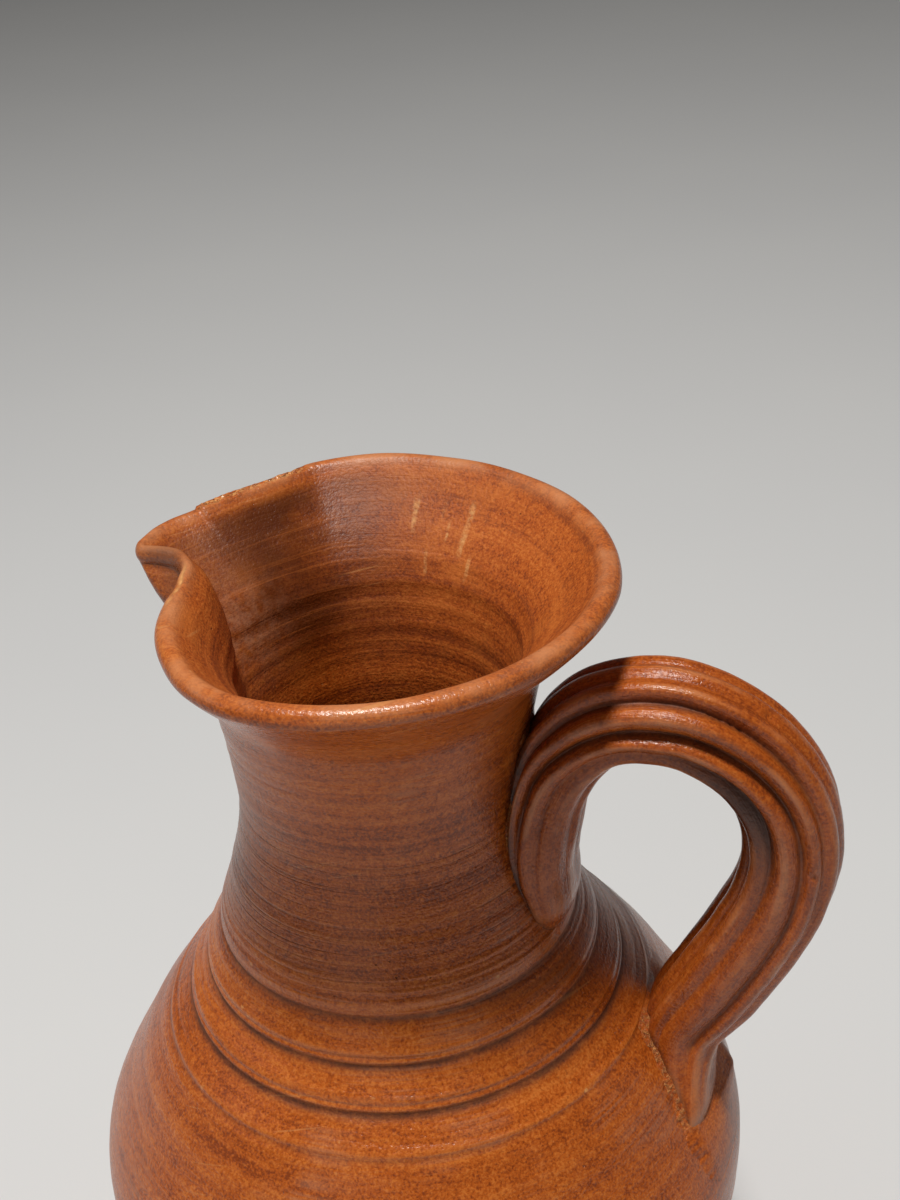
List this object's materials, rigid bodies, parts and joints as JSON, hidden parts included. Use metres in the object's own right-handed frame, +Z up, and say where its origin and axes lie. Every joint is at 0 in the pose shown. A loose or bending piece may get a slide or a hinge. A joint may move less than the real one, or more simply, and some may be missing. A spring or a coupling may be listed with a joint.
{
  "type": "ceramic jug",
  "caption": "Wheel-thrown terracotta pouring jug with a round belly, waisted neck, flared mouth, pinched spout and ribbed pulled handle luted to neck and belly.",
  "frame": {"origin": "on the flat foot, at the throwing axis of the body", "axes": "+Z up along the throwing axis; +X towards the middle of the handle; the pinched spout points towards -X"},
  "size_m": [0.1586, 0.1394, 0.222],
  "materials": {
    "thrown_body": "red-brown slipped terracotta with a satin sheen and throwing lines",
    "pulled_handle": "red-brown slipped terracotta, satin, a little shinier on the ribs",
    "upper_luting_slip": "dry, rough, paler fired slip",
    "lower_luting_slip": "dry, rough, paler fired slip"
  },
  "bodies": {
    "root": {"thrown_body": "thrown_body", "pulled_handle": "pulled_handle", "upper_luting_slip": "upper_luting_slip", "lower_luting_slip": "lower_luting_slip"}
  },
  "joints": []
}
